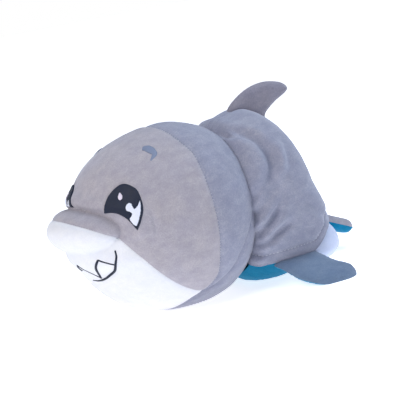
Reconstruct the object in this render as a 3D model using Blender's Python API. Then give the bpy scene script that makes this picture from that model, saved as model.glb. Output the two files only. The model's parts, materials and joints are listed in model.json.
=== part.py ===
"""A stuffed sea animal that turns inside out, as a model of separate sewn pieces.

A big round head with a short beak faces -Y. Behind it sits a second, teal head that faces
+Y and is covered by a loose grey sleeve with a hem, a dorsal fin, two flippers and a small
tail fin. Every piece is built about the centre of the front head, and the empty named toy
then stands the whole animal on Z = 0 with the origin under its middle.
"""

import math

import bmesh
import bpy
from mathutils import Matrix, Vector

# ---------------------------------------------------------------- driving dimensions (metres)

HEAD_HEIGHT = 0.107          # centre of the front head above the surface it stands on
TOY_FORWARD = 0.0450         # how far the front head's centre lies in front of the middle

FABRIC = 0.0018              # thickness of one layer of velour
GAP = 0.0003                 # air between two pieces that touch
SHELL = FABRIC + GAP         # depth taken by one fabric layer and its gap
FILLING_DEPTH = 0.0032       # how far a filling lies below the outside of its skin
THREAD_LAYER = 0.0009        # thickness of an embroidered patch

# Front head: a rounded body whose face is longer than its back.
HEAD = dict(centre=(0.0, 0.0, 0.0), half_width=0.095, front=0.131, back=0.097,
            up=0.107, down=0.1115, power=2.17, tilt=0.0, flare=0.0)
BEAK = dict(centre=(0.0, -0.098, 0.011), half_width=0.064, front=0.056, back=0.056,
            up=0.030, down=0.030, power=2.0, tilt=0.0, flare=0.0)

# The sleeve stands loosely over the second head, leans back and widens towards its hem.
SLEEVE = dict(centre=(0.0, 0.118, -0.0016), half_width=0.089, front=0.092, back=0.048,
              up=0.1027, down=0.150, power=2.75, tilt=0.223, flare=0.62)
SECOND_HEAD = dict(centre=(0.0, 0.118, -0.0016), half_width=0.0845, front=0.0875, back=0.0435,
                   up=0.0982, down=0.1115, power=2.75, tilt=0.223, flare=0.0)
SECOND_MUZZLE = dict(centre=(0.0, 0.135, -0.085), half_width=0.0615, front=0.0655, back=0.0680,
                     up=0.0215, down=0.0255, power=2.0, tilt=0.0, flare=0.0)

# Seams
COLLAR_LEAN = 0.064          # the seam behind the face leans back by this slope
GUSSET_START = 0.065         # where the rear gusset seam crosses the head's mid height
CHEEK_CORNER = (-0.104, 0.002)     # corner of the mouth in the side view (y, z)
CHEEK_MIDDLE = (-0.069, -0.045)
CHEEK_END = (-0.020, -0.083)
BEAK_SEAM_SLOPE = 0.66       # the beak's seam rises forward from the corner of the mouth
HEM_EDGE = -0.076            # lower edge of the sleeve
HEM_DEPTH = 0.009            # height of the hem band
SECOND_WHITE_START = 0.125   # the second head is white behind this and below the next
SECOND_WHITE_TOP = -0.045
MUZZLE_CLEARANCE = 0.007     # the sleeve's rear edge arches this far round the second muzzle

# Room for the head to turn in the sleeve
NECK_CLEARANCE = 0.0032
NECK_WALL_GAP = 0.0040
NECK_WALL = 0.0018
NECK_WALL_RADIUS = 0.042

SEGMENTS = 24                # facets around a rounded body
RINGS = 12                   # facets from its front to its back
FIN_SEGMENTS = 16
FIN_RINGS = 6
CUTTER_SIZE = 0.6

COLOURS = {
    "grey": (0.36, 0.37, 0.45),
    "white": (0.86, 0.87, 0.93),
    "teal": (0.03, 0.33, 0.46),
    "filling": (0.85, 0.84, 0.80),
    "navy_thread": (0.02, 0.03, 0.06),
    "white_thread": (0.80, 0.83, 0.95),
    "slate_thread": (0.17, 0.21, 0.29),
}
ROUGHNESS = {"navy_thread": 0.55, "white_thread": 0.5, "slate_thread": 0.6}

# ---------------------------------------------------------------- scene and small helpers

for old in list(bpy.data.objects):
    bpy.data.objects.remove(old, do_unlink=True)

parts = bpy.data.collections.new("plush_shark")
bpy.context.scene.collection.children.link(parts)


def empty(name, place, parent=None):
    """A parent frame at a place given from the front head's centre."""
    frame = bpy.data.objects.new(name, None)
    frame.empty_display_size = 0.02
    frame.parent = parent
    frame.location = place
    parts.objects.link(frame)
    return frame


def material(node, colour):
    cloth = bpy.data.materials.new(node)
    cloth.use_nodes = True
    shader = cloth.node_tree.nodes["Principled BSDF"]
    shader.inputs["Base Color"].default_value = (*COLOURS[colour], 1.0)
    shader.inputs["Roughness"].default_value = ROUGHNESS.get(colour, 0.9)
    shader.inputs["Metallic"].default_value = 0.0
    return cloth


def from_bmesh(name, mesh_data):
    """A loose working object from a bmesh, which is freed."""
    mesh = bpy.data.meshes.new(name)
    mesh_data.to_mesh(mesh)
    mesh_data.free()
    piece = bpy.data.objects.new(name, mesh)
    bpy.context.scene.collection.objects.link(piece)
    return piece


def combine(piece, tool, operation):
    """Cut, join or intersect piece with tool, and leave the result as a plain mesh."""
    step = piece.modifiers.new(operation, "BOOLEAN")
    step.operation = operation
    step.solver = "EXACT"
    step.object = tool
    graph = bpy.context.evaluated_depsgraph_get()
    result = bpy.data.meshes.new_from_object(piece.evaluated_get(graph))
    piece.modifiers.clear()
    old_mesh = piece.data
    piece.data = result
    bpy.data.meshes.remove(old_mesh)
    discard(tool)
    return piece


def discard(piece):
    bpy.data.objects.remove(piece, do_unlink=True)


def copy_of(piece, name):
    twin = bpy.data.objects.new(name, piece.data.copy())
    bpy.context.scene.collection.objects.link(twin)
    return twin


def finish(piece, node, colour, frame, pivot=(0.0, 0.0, 0.0)):
    """Name a finished piece, give it its material and hang it on its joint's frame."""
    piece.name = node
    piece.data.name = node
    for group in list(piece.users_collection):
        group.objects.unlink(piece)
    parts.objects.link(piece)
    piece.data.materials.clear()
    piece.data.materials.append(material(node, colour))
    piece.parent = frame
    piece.location = -Vector(pivot)
    piece.data.shade_smooth()
    piece.data.set_sharp_from_angle(angle=math.radians(50))
    return piece


# ---------------------------------------------------------------- rounded bodies and cutters

def body_point(direction, shape, inset):
    """Map a direction of the unit sphere onto the rounded body, inset along every half axis."""
    x, y, z = direction
    power = shape["power"]
    ring = math.hypot(x, z)
    scale = (abs(y) ** power + ring ** power) ** (-1.0 / power)
    length = shape["front"] if y < 0 else shape["back"]
    height = shape["up"] if z > 0 else shape["down"]
    across = x * scale * (shape["half_width"] - inset)
    along = y * scale * (length - inset)
    above = z * scale * (height - inset)
    if y > 0 and z < 0:
        along *= 1.0 + shape["flare"] * -z * scale
    turned = Matrix.Rotation(shape["tilt"], 3, "X") @ Vector((across, along, above))
    place = Vector(shape["centre"]) + turned
    place.z = max(place.z, -HEAD_HEIGHT + inset)
    return place


def rounded_body(name, shape, inset=0.0):
    """A closed body: a sphere with its poles on Y, mapped onto the shape, flat underneath."""
    ball = bmesh.new()
    bmesh.ops.create_uvsphere(ball, u_segments=SEGMENTS, v_segments=RINGS, radius=1.0,
                              matrix=Matrix.Rotation(math.pi / 2, 4, "X"))
    for corner in ball.verts:
        corner.co = body_point(corner.co, shape, inset)
    bmesh.ops.recalc_face_normals(ball, faces=ball.faces)
    return from_bmesh(name, ball)


def half_space(point, normal):
    """A big cube whose one face passes through point and that reaches along normal."""
    block = bmesh.new()
    bmesh.ops.create_cube(block, size=CUTTER_SIZE)
    turn = Vector((0, 0, 1)).rotation_difference(Vector(normal).normalized()).to_matrix().to_4x4()
    shift = Matrix.Translation(Vector((0, 0, CUTTER_SIZE / 2)))
    bmesh.ops.transform(block, matrix=Matrix.Translation(Vector(point)) @ turn @ shift,
                        verts=block.verts)
    return from_bmesh("half_space", block)


def keep_side(piece, point, normal):
    """Keep the part of piece on the side that normal points to."""
    return combine(piece, half_space(point, normal), "INTERSECT")


def prism(name, outline, depth, placement):
    """A flat outline made solid, depth thick on each side of its plane."""
    data = bpy.data.curves.new(name, "CURVE")
    data.dimensions = "2D"
    data.fill_mode = "BOTH"
    data.extrude = depth
    line = data.splines.new("POLY")
    line.points.add(len(outline) - 1)
    for corner, (u, v) in zip(line.points, outline):
        corner.co = (u, v, 0.0, 1.0)
    line.use_cyclic_u = True
    shape = bpy.data.objects.new(name, data)
    bpy.context.scene.collection.objects.link(shape)
    return curve_to_solid(shape, placement)


def curve_to_solid(shape, placement):
    """Turn a filled curve into a closed mesh in its final place."""
    graph = bpy.context.evaluated_depsgraph_get()
    solid = bmesh.new()
    solid.from_mesh(bpy.data.meshes.new_from_object(shape.evaluated_get(graph)))
    name = shape.name
    discard(shape)
    bmesh.ops.remove_doubles(solid, verts=solid.verts, dist=0.00001)
    bmesh.ops.transform(solid, matrix=placement, verts=solid.verts)
    bmesh.ops.recalc_face_normals(solid, faces=solid.faces)
    return from_bmesh(name, solid)


def smooth_loop(points, count):
    """A closed smooth curve through the points, read at count even steps."""
    total = len(points)
    loop = []
    for step in range(count):
        where = step * total / count
        first = int(where)
        t = where - first
        a, b, c, d = (Vector(points[(first + k) % total]) for k in (-1, 0, 1, 2))
        loop.append(0.5 * (2 * b + (c - a) * t + (2 * a - 5 * b + 4 * c - d) * t ** 2
                           + (3 * b - a - 3 * c + d) * t ** 3))
    return loop


# ---------------------------------------------------------------- frames of the moving bodies

toy = empty("toy", (0.0, -TOY_FORWARD, HEAD_HEIGHT))
neck_frame = empty("neck_frame", (0.0, 0.0, 0.0), toy)
head_frame = empty("head_frame", (0.0, 0.0, 0.0), neck_frame)


# ---------------------------------------------------------------- front head

def cheek_line(y):
    """Height of the seam between the grey cheek and the white chin in the side view."""
    (ya, za), (yb, zb), (yc, zc) = CHEEK_CORNER, CHEEK_MIDDLE, CHEEK_END
    first = (zb - za) / (yb - ya)
    second = ((zc - zb) / (yc - yb) - first) / (yc - ya)
    return za + first * (y - ya) + second * (y - ya) * (y - yb)


def chin_region(lift=0.0):
    """Everything below the cheek seam and below the beak's seam, through the whole width."""
    far = -0.25
    start, stop = CHEEK_CORNER[0], 0.02
    outline = [(far, CHEEK_CORNER[1] + BEAK_SEAM_SLOPE * (start - far) + lift)]
    steps = 8
    for step in range(steps + 1):
        y = start + (stop - start) * step / steps
        outline.append((y, cheek_line(y) + lift))
    outline += [(stop, -0.3), (far, -0.3)]
    side_view = Matrix(((0, 0, 1, 0), (1, 0, 0, 0), (0, 1, 0, 0), (0, 0, 0, 1)))
    return prism("chin_region", outline, 0.2, side_view)


def joined(name, first, second, inset):
    return combine(rounded_body(name, first, inset), rounded_body("lobe", second, inset), "UNION")


def make_front_head():
    """Filling and the five sewn panels of the front head."""
    finish(joined("head_filling", HEAD, BEAK, FILLING_DEPTH), "head_filling", "filling", head_frame)

    collar_forward = (0.0, -1.0, COLLAR_LEAN)
    collar_back = (0.0, 1.0, -COLLAR_LEAN)
    before_collar = (0.0, -GAP / 2, 0.0)
    after_collar = (0.0, GAP / 2, 0.0)

    chin = combine(joined("chin", HEAD, BEAK, 0.0), joined("core", HEAD, BEAK, FABRIC),
                   "DIFFERENCE")
    combine(chin, chin_region(), "INTERSECT")
    keep_side(chin, before_collar, collar_forward)
    finish(chin, "muzzle_panel", "white", head_frame)

    face = combine(rounded_body("face", HEAD), rounded_body("core", HEAD, FABRIC), "DIFFERENCE")
    skin = copy_of(face, "skin")
    combine(face, chin_region(GAP), "DIFFERENCE")
    combine(face, rounded_body("beak", BEAK, -GAP), "DIFFERENCE")
    keep_side(face, before_collar, collar_forward)
    finish(face, "face_panel", "grey", head_frame)

    beak = combine(rounded_body("beak", BEAK), rounded_body("core", BEAK, FABRIC), "DIFFERENCE")
    combine(beak, chin_region(GAP), "DIFFERENCE")
    combine(beak, rounded_body("head", HEAD, -GAP), "DIFFERENCE")
    finish(beak, "beak_panel", "grey", head_frame)

    keep_side(skin, after_collar, collar_back)
    gusset = copy_of(skin, "gusset")
    keep_side(skin, (0.0, GUSSET_START - GAP, 0.0), (0.0, -1.0, 1.0))
    finish(skin, "head_side_band", "grey", head_frame)
    keep_side(gusset, (0.0, GUSSET_START + GAP, 0.0), (0.0, 1.0, -1.0))
    finish(gusset, "head_rear_gusset", "grey", head_frame)


# Embroidery: outlines in a flat view onto the eye, right and up from its centre.
# The face sits a little round to the left, so the right eye is nearer the middle.
EYES = {1: (math.radians(52), (0.0632, -0.0923, 0.038)),
        -1: (math.radians(-34), (-0.0370, -0.1105, 0.038))}
EYE_OUTLINE = [(0.001, 0.022), (-0.0137, 0.014), (-0.0206, 0.004), (-0.0231, -0.006),
               (-0.0133, -0.006), (-0.005, -0.009), (0.0034, -0.016), (0.0118, -0.029),
               (0.0178, -0.019), (0.0217, -0.007), (0.0202, 0.006), (0.0150, 0.016)]
WEDGE_OUTLINE = [(0.0190, 0.000), (0.0120, -0.003), (0.0070, -0.011), (0.0065, -0.017),
                 (0.0110, -0.0235), (0.0165, -0.015)]
GLINT_RADIUS = (0.0022, 0.0032)
GLINT_PLACE = (-0.003, 0.006)


def eye_view(side):
    """Frame of the flat view onto the eye on the left (side 1) or right (side -1)."""
    turn, centre = EYES[side]
    across = Vector((math.cos(turn), math.sin(turn), 0.0))
    outward = Vector((math.sin(turn), -math.cos(turn), 0.0))
    frame = Matrix.Identity(4)
    frame.col[0] = (*across, 0.0)
    frame.col[1] = (0.0, 0.0, 1.0, 0.0)
    frame.col[2] = (*outward, 0.0)
    frame.col[3] = (*centre, 1.0)
    return frame


def thread_patch(outline, side):
    """The part of a thin layer over the face that lies behind the outline."""
    layer = combine(rounded_body("layer", HEAD, -GAP - THREAD_LAYER),
                    rounded_body("under", HEAD, -GAP), "DIFFERENCE")
    cutter = prism("outline", outline, 0.045, eye_view(side))
    return combine(layer, cutter, "INTERSECT")


def make_eyes():
    """Each eye is a navy patch with a white wedge and a glint let into it."""
    glint = []
    for step in range(12):
        turn = math.tau * step / 12
        glint.append((GLINT_PLACE[0] + GLINT_RADIUS[0] * math.cos(turn),
                      GLINT_PLACE[1] + GLINT_RADIUS[1] * math.sin(turn)))
    for word, side in (("left", 1), ("right", -1)):
        # The eye's outline is mirrored on the right, but its light spots are not.
        outline = [(u * side, v) for u, v in EYE_OUTLINE][::side]
        wedge = WEDGE_OUTLINE if side > 0 else [(u - 0.006, v + 0.006) for u, v in WEDGE_OUTLINE]
        navy = thread_patch(outline, side)
        if side < 0:
            # The beak's root covers the lower part of the right eye.
            combine(navy, rounded_body("root", BEAK, -0.0015), "DIFFERENCE")
        for spot in (widened(wedge), widened(glint)):
            combine(navy, prism("spot", spot, 0.045, eye_view(side)), "DIFFERENCE")
        finish(navy, word + "_eye_patch", "navy_thread", head_frame)
        light = thread_patch(wedge, side)
        if side < 0:
            combine(light, rounded_body("root", BEAK, -0.0015), "DIFFERENCE")
        finish(light, word + "_eye_wedge", "white_thread", head_frame)
        finish(thread_patch(glint, side), word + "_eye_glint", "white_thread", head_frame)


def widened(outline):
    """The outline grown from its middle, so that what fills it keeps a gap all round."""
    middle = sum((Vector(point) for point in outline), Vector((0, 0))) / len(outline)
    return [Vector(point) + (Vector(point) - middle).normalized() * 2 * GAP for point in outline]


def on_head(x, z, lift):
    """A point above the face, lift away from the surface."""
    power = HEAD["power"]
    height = HEAD["up"] if z > 0 else HEAD["down"]
    ring = math.hypot(x / HEAD["half_width"], z / height)
    y = -HEAD["front"] * (1.0 - ring ** power) ** (1.0 / power)
    slope = ring ** (power - 2)
    outward = Vector((x / HEAD["half_width"] ** 2 * slope,
                      -(abs(y) / HEAD["front"]) ** (power - 1) / HEAD["front"],
                      z / height ** 2 * slope))
    return Vector((x, y, z)) + outward.normalized() * lift


def strand(name, line, radius, taper, colour):
    """A raised line of thread: a tube along points of the face, thinner where taper is lower."""
    data = bpy.data.curves.new(name, "CURVE")
    data.dimensions = "3D"
    data.bevel_depth = radius
    data.bevel_resolution = 2
    data.use_fill_caps = True
    spline = data.splines.new("POLY")
    spline.points.add(len(line) - 1)
    for corner, (x, z), width in zip(spline.points, line, taper):
        corner.co = (*on_head(x, z, radius + 2 * GAP), 1.0)
        corner.radius = width
    shape = bpy.data.objects.new(name, data)
    bpy.context.scene.collection.objects.link(shape)
    return finish(curve_to_solid(shape, Matrix.Identity(4)), name, colour, head_frame)


def between(start, stop, steps):
    """Even points from start up to, but not including, stop."""
    return [Vector(start).lerp(Vector(stop), step / steps) for step in range(steps)]


def make_brows_and_mouth():
    """Two short brow marks, and a lopsided grin with two pointed teeth on the left."""
    for word, side, shift in (("left", 1, 0.0), ("right", -1, 0.014)):
        line = [(0.043 * side + shift, 0.0905), (0.049 * side + shift, 0.0875),
                (0.055 * side + shift, 0.0825), (0.059 * side + shift, 0.077)]
        strand(word + "_brow", line, 0.0022, (0.8, 1.0, 0.75, 0.35), "slate_thread")
    grin = [(0.057, -0.009), (0.0575, -0.017), (0.0545, -0.026), (0.049, -0.033), (0.041, -0.038),
            (0.031, -0.043), (0.020, -0.046), (0.007, -0.0465)]
    strand("grin_stitching", grin, 0.0010, (1.0, 1.0, 1.0, 1.0, 1.0, 0.9, 0.7, 0.5), "navy_thread")
    corners = [(0.004, -0.029), (0.008, -0.0245), (0.0265, -0.0405), (0.042, -0.0175),
               (0.0525, -0.0245)]
    teeth = []
    for start, stop in zip(corners, corners[1:]):
        teeth += between(start, stop, 4)
    strand("teeth_stitching", teeth, 0.0008, [0.9] * len(teeth), "navy_thread")


def make_neck():
    """The wall of fabric sewn between the two stuffed heads, dished like the head's back."""
    wall = combine(rounded_body("wall", HEAD, -NECK_WALL_GAP - NECK_WALL),
                   rounded_body("inside", HEAD, -NECK_WALL_GAP), "DIFFERENCE")
    plug = bmesh.new()
    bmesh.ops.create_cone(plug, cap_ends=True, segments=SEGMENTS, radius1=NECK_WALL_RADIUS,
                          radius2=NECK_WALL_RADIUS, depth=0.2,
                          matrix=Matrix.Translation((0, 0.14, 0)) @ Matrix.Rotation(math.pi / 2, 4, "X"))
    combine(wall, from_bmesh("plug", plug), "INTERSECT")
    finish(wall, "neck_wall", "grey", neck_frame)


# ---------------------------------------------------------------- second head and sleeve

def clear_of_head(piece, clearance):
    return combine(piece, rounded_body("head_room", HEAD, -clearance), "DIFFERENCE")


def make_second_head():
    """The teal head inside the sleeve: its filling, teal skin and white muzzle."""
    room = NECK_WALL_GAP * 2 + NECK_WALL
    filling = joined("filling", SECOND_HEAD, SECOND_MUZZLE, FILLING_DEPTH)
    finish(clear_of_head(filling, room), "second_head_filling", "filling", toy)

    skin = combine(joined("skin", SECOND_HEAD, SECOND_MUZZLE, 0.0),
                   joined("core", SECOND_HEAD, SECOND_MUZZLE, FABRIC), "DIFFERENCE")
    clear_of_head(skin, room)
    muzzle = copy_of(skin, "muzzle")
    for piece, lift, operation in ((skin, GAP, "DIFFERENCE"), (muzzle, 0.0, "INTERSECT")):
        block = half_space((0.0, SECOND_WHITE_START - lift, 0.0), (0.0, 1.0, 0.0))
        combine(block, half_space((0.0, 0.0, SECOND_WHITE_TOP + lift), (0.0, 0.35, -1.0)), "INTERSECT")
        combine(piece, block, operation)
    finish(skin, "second_head_skin", "teal", toy)
    finish(muzzle, "second_head_muzzle", "white", toy)


def make_sleeve():
    """Outer panels, hem bands and teal lining, open below and round the second muzzle."""
    def mouth_room():
        return rounded_body("mouth_room", SECOND_MUZZLE, -MUZZLE_CLEARANCE)

    outer = combine(rounded_body("outer", SLEEVE), rounded_body("inner", SLEEVE, FABRIC),
                    "DIFFERENCE")
    clear_of_head(outer, NECK_CLEARANCE)
    combine(outer, mouth_room(), "DIFFERENCE")
    keep_side(outer, (0, 0, HEM_EDGE), (0, 0, 1))
    hem = copy_of(outer, "hem")
    keep_side(outer, (0, 0, HEM_EDGE + HEM_DEPTH + GAP), (0, 0, 1))
    keep_side(hem, (0, 0, HEM_EDGE + HEM_DEPTH), (0, 0, -1))
    for word, side in (("left", 1), ("right", -1)):
        for source, node in ((outer, "sleeve_panel_"), (hem, "hem_band_")):
            half = copy_of(source, node + word)
            keep_side(half, (side * GAP / 2, 0, 0), (side, 0, 0))
            finish(half, node + word, "grey", toy)
    discard(outer)
    discard(hem)

    lining = combine(rounded_body("lining", SLEEVE, SHELL),
                     rounded_body("inner", SLEEVE, SHELL + FABRIC), "DIFFERENCE")
    clear_of_head(lining, NECK_CLEARANCE)
    combine(lining, mouth_room(), "DIFFERENCE")
    keep_side(lining, (0, 0, HEM_EDGE), (0, 0, 1))
    finish(lining, "sleeve_lining", "teal", toy)


# ---------------------------------------------------------------- fins and flippers

def fin_body(name, loop, centre, thickness, placement, inset=0.0):
    """A puffed lobe: a sphere whose equator is the outline, flattened to the thickness."""
    ball = bmesh.new()
    bmesh.ops.create_uvsphere(ball, u_segments=FIN_SEGMENTS, v_segments=FIN_RINGS, radius=1.0)
    middle = Vector(centre)
    for corner in ball.verts:
        reach = math.hypot(corner.co.x, corner.co.y)
        turn = math.atan2(corner.co.y, corner.co.x) % math.tau
        index = round(turn / math.tau * FIN_SEGMENTS) % FIN_SEGMENTS
        spoke = loop[index] - middle
        edge = spoke * (1.0 - inset / spoke.length)
        flat = middle + edge * reach
        corner.co = (flat.x, flat.y, (thickness / 2 - inset) * corner.co.z)
    bmesh.ops.transform(ball, matrix=placement, verts=ball.verts)
    bmesh.ops.recalc_face_normals(ball, faces=ball.faces)
    return from_bmesh(name, ball)


def make_fin(names, colours, outline, centre, thickness, placement, frame, pivot):
    """Two cloth faces sewn edge to edge round a filling. Their seam is the lobe's mid plane."""
    loop = smooth_loop(outline, FIN_SEGMENTS)
    middle = placement @ Vector((0, 0, 0))
    upward = placement.to_3x3() @ Vector((0, 0, 1))
    finish(fin_body("core", loop, centre, thickness, placement, SHELL),
           names[2], "filling", frame, pivot)
    for node, colour, side in ((names[0], colours[0], 1), (names[1], colours[1], -1)):
        face = combine(fin_body("outer", loop, centre, thickness, placement),
                       fin_body("inner", loop, centre, thickness, placement, FABRIC), "DIFFERENCE")
        keep_side(face, middle + upward * side * GAP / 2, upward * side)
        finish(face, node, colour, frame, pivot)


# Outlines start at the root and run round; u points away from the root, v to the rear.
FLIPPER_ROOT = (0.0800, -0.0822)            # x and z of the left flipper's hinge line
FLIPPER_DROOP = math.radians(27)
FLIPPER_THICKNESS = 0.013
FLIPPER_OUTLINE = [(0.044, 0.110), (0.040, 0.148), (0.022, 0.166), (0.004, 0.150),
                   (-0.005, 0.115), (-0.005, 0.085), (0.000, 0.060), (0.019, 0.062),
                   (0.037, 0.075), (0.046, 0.092)]
FLIPPER_CENTRE = (0.020, 0.112)

TAIL_ROOT = (0.1965, -0.0580)                # y and z of the tail's hinge line
TAIL_DROOP = math.radians(24)
TAIL_THICKNESS = 0.018
TAIL_OUTLINE = [(0.052, 0.0), (0.050, 0.012), (0.038, 0.021), (0.018, 0.019), (0.004, 0.012),
                (0.001, 0.0), (0.004, -0.012), (0.018, -0.019), (0.038, -0.021), (0.050, -0.012)]

FIN_HINGE = ((0.100, 0.1050), (0.152, 0.0870))    # front and rear of the dorsal fin's base (y, z)
FIN_THICKNESS = 0.0115
FIN_OUTLINE = [(0.189, 0.1095), (0.180, 0.1170), (0.158, 0.1230), (0.133, 0.1215),
               (0.113, 0.1140), (0.099, 0.1045), (0.125, 0.0985), (0.152, 0.0870),
               (0.168, 0.0945), (0.182, 0.1020)]
FIN_CENTRE = (0.148, 0.1085)


def make_flippers():
    """One flipper on each side, hinged along the hem and drooping to the ground."""
    for word, side in (("left", 1), ("right", -1)):
        pivot = Vector((FLIPPER_ROOT[0] * side, 0.110, FLIPPER_ROOT[1]))
        frame = empty(word + "_flipper_frame", pivot, toy)
        outward = Vector((math.cos(FLIPPER_DROOP) * side, 0, -math.sin(FLIPPER_DROOP)))
        upward = Vector((math.sin(FLIPPER_DROOP) * side, 0, math.cos(FLIPPER_DROOP)))
        placement = Matrix.Identity(4)
        placement.col[0] = (*outward, 0)
        placement.col[1] = (0, 1, 0, 0)
        placement.col[2] = (*upward, 0)
        placement.col[3] = (pivot.x, 0, pivot.z, 1)
        names = [word + "_flipper_top", word + "_flipper_underside", word + "_flipper_filling"]
        make_fin(names, ("grey", "teal"), FLIPPER_OUTLINE, FLIPPER_CENTRE, FLIPPER_THICKNESS,
                 placement, frame, pivot)


def make_tail_fin():
    """A small puffed lobe that hangs from the sleeve's rear edge over the second muzzle."""
    pivot = Vector((0, *TAIL_ROOT))
    frame = empty("tail_fin_frame", pivot, toy)
    placement = Matrix.Identity(4)
    placement.col[0] = (0, math.cos(TAIL_DROOP), -math.sin(TAIL_DROOP), 0)
    placement.col[1] = (-1, 0, 0, 0)
    placement.col[2] = (0, math.sin(TAIL_DROOP), math.cos(TAIL_DROOP), 0)
    placement.col[3] = (*pivot, 1)
    names = ["tail_fin_top", "tail_fin_underside", "tail_fin_filling"]
    make_fin(names, ("grey", "teal"), TAIL_OUTLINE, (0.027, 0.0), TAIL_THICKNESS, placement,
             frame, pivot)


def make_dorsal_fin():
    """The swept fin on the sleeve's back seam, free to flop to either side of its base."""
    pivot = Vector((0, *FIN_HINGE[0])).lerp(Vector((0, *FIN_HINGE[1])), 0.5)
    frame = empty("dorsal_fin_frame", pivot, toy)
    upright = Matrix(((0, 0, 1, 0), (1, 0, 0, 0), (0, 1, 0, 0), (0, 0, 0, 1)))
    names = ["dorsal_fin_left", "dorsal_fin_right", "dorsal_fin_filling"]
    make_fin(names, ("grey", "grey"), FIN_OUTLINE, FIN_CENTRE, FIN_THICKNESS, upright,
             frame, pivot)


make_front_head()
make_eyes()
make_brows_and_mouth()
make_neck()
make_second_head()
make_sleeve()
make_flippers()
make_tail_fin()
make_dorsal_fin()
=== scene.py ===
import json
import math

import bmesh
import bpy
import numpy as np
from mathutils import Matrix, Vector, noise
from mathutils.bvhtree import BVHTree
from mathutils.geometry import delaunay_2d_cdt
from mathutils.kdtree import KDTree


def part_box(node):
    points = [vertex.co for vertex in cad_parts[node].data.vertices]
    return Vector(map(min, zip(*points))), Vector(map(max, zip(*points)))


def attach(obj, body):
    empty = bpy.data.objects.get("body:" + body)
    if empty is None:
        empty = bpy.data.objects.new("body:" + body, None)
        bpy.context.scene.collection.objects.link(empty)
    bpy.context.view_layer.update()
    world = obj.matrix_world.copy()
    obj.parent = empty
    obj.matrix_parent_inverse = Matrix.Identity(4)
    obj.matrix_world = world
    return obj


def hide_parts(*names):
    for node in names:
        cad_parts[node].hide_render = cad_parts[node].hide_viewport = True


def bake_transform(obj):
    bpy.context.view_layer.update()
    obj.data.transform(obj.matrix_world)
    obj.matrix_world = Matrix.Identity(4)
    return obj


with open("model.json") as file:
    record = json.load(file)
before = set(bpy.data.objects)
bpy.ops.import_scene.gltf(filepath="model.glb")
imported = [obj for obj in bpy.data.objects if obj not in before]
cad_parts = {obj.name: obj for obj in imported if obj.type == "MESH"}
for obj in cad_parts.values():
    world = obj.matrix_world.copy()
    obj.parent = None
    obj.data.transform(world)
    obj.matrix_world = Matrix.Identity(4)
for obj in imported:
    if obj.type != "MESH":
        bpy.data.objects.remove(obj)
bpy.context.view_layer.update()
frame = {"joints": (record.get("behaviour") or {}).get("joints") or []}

# Lengths are metres. Shapes are built about the front head's centre, as in the CAD source,
# and moved into the row frame when their meshes are made.
HEAD_AT = np.array(next(j["pos_m"] for j in frame["joints"] if j["name"] == "head_turn"))
FLOOR = -HEAD_AT[2]

HEAD = dict(centre=(0, 0, 0), half_width=0.095, front=0.131, back=0.097, up=0.107, down=0.1115,
            power=2.17, tilt=0, flare=0)
BEAK = dict(centre=(0, -0.098, 0.011), half_width=0.0635, front=0.0575, back=0.056, up=0.0305,
            down=0.030, power=2.15, tilt=0, flare=0)
SLEEVE = dict(centre=(0, 0.118, -0.0016), half_width=0.089, front=0.092, back=0.048, up=0.1027,
              down=0.150, power=2.75, tilt=0.223, flare=0.62)
SECOND_HEAD = dict(centre=(0, 0.118, -0.0016), half_width=0.0845, front=0.0875, back=0.0435,
                   up=0.0982, down=0.1115, power=2.75, tilt=0.223, flare=0)
MUZZLE = dict(centre=(0, 0.146, -0.080), half_width=0.0740, front=0.0300, back=0.0580, up=0.0360,
              down=0.0300, power=2.3, tilt=0, flare=0)


# ---------------------------------------------------------------- points and meshes

def gauge(points, shape):
    """Below 1 inside a rounded body, 1 on its surface and above 1 outside."""
    x, y, z = (points - np.array(shape["centre"])).T
    c, s = math.cos(shape["tilt"]), math.sin(shape["tilt"])
    y, z = y * c + z * s, z * c - y * s
    depth = np.where(z > 0, shape["up"], shape["down"])
    across = np.hypot(x / shape["half_width"], z / depth)
    flare = 1 + shape["flare"] * np.clip(-z / depth, 0, None)
    length = np.where(y < 0, shape["front"], shape["back"] * flare)
    return (np.abs(y / length) ** shape["power"] + across ** shape["power"]) ** (1 / shape["power"])


def smooth(value, low, high):
    """0 below low, 1 above high, and a smooth step between."""
    t = np.clip((np.asarray(value, float) - low) / (high - low), 0, 1)
    return t * t * (3 - 2 * t)


def join_fields(a, b, softness):
    """The union of two bodies, rounded where they meet by softness."""
    h = np.clip(0.5 + 0.5 * (b - a) / softness, 0, 1)
    return b + (a - b) * h - softness * h * (1 - h)


def unit(vectors):
    """Vectors scaled to length 1."""
    size = np.linalg.norm(vectors, axis=-1, keepdims=True)
    return vectors / np.maximum(size, 1e-12)


def icosphere(level):
    """Directions and triangles of an even sphere."""
    bm = bmesh.new()
    bmesh.ops.create_icosphere(bm, subdivisions=level, radius=1)
    points = np.array([v.co for v in bm.verts])
    faces = np.array([[v.index for v in f.verts] for f in bm.faces])
    bm.free()
    return unit(points), faces


REACH = 0.27        # longest distance searched from a body's centre to its surface


def inflate(level, centre, field):
    """A closed surface where field crosses 0, seen from centre, and its triangles."""
    directions, faces = icosphere(level)
    centre = np.array(centre, float)
    steps = np.linspace(0.004, REACH, 90)
    inside = np.array([field(centre + directions * s) < 0 for s in steps])
    last = len(steps) - 1 - np.argmax(inside[::-1], axis=0)
    low, high = steps[last], steps[np.minimum(last + 1, len(steps) - 1)]
    for _ in range(18):
        middle = (low + high) / 2
        within = field(centre + directions * middle[:, None]) < 0
        low, high = np.where(within, middle, low), np.where(within, high, middle)
    return centre + directions * low[:, None], faces


def point_normals(points, faces):
    """Normals at the points, weighted by face area."""
    corner = points[faces]
    across = np.cross(corner[:, 1] - corner[:, 0], corner[:, 2] - corner[:, 0])
    total = np.zeros_like(points)
    for k in range(3):
        np.add.at(total, faces[:, k], across)
    return unit(total)


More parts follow.
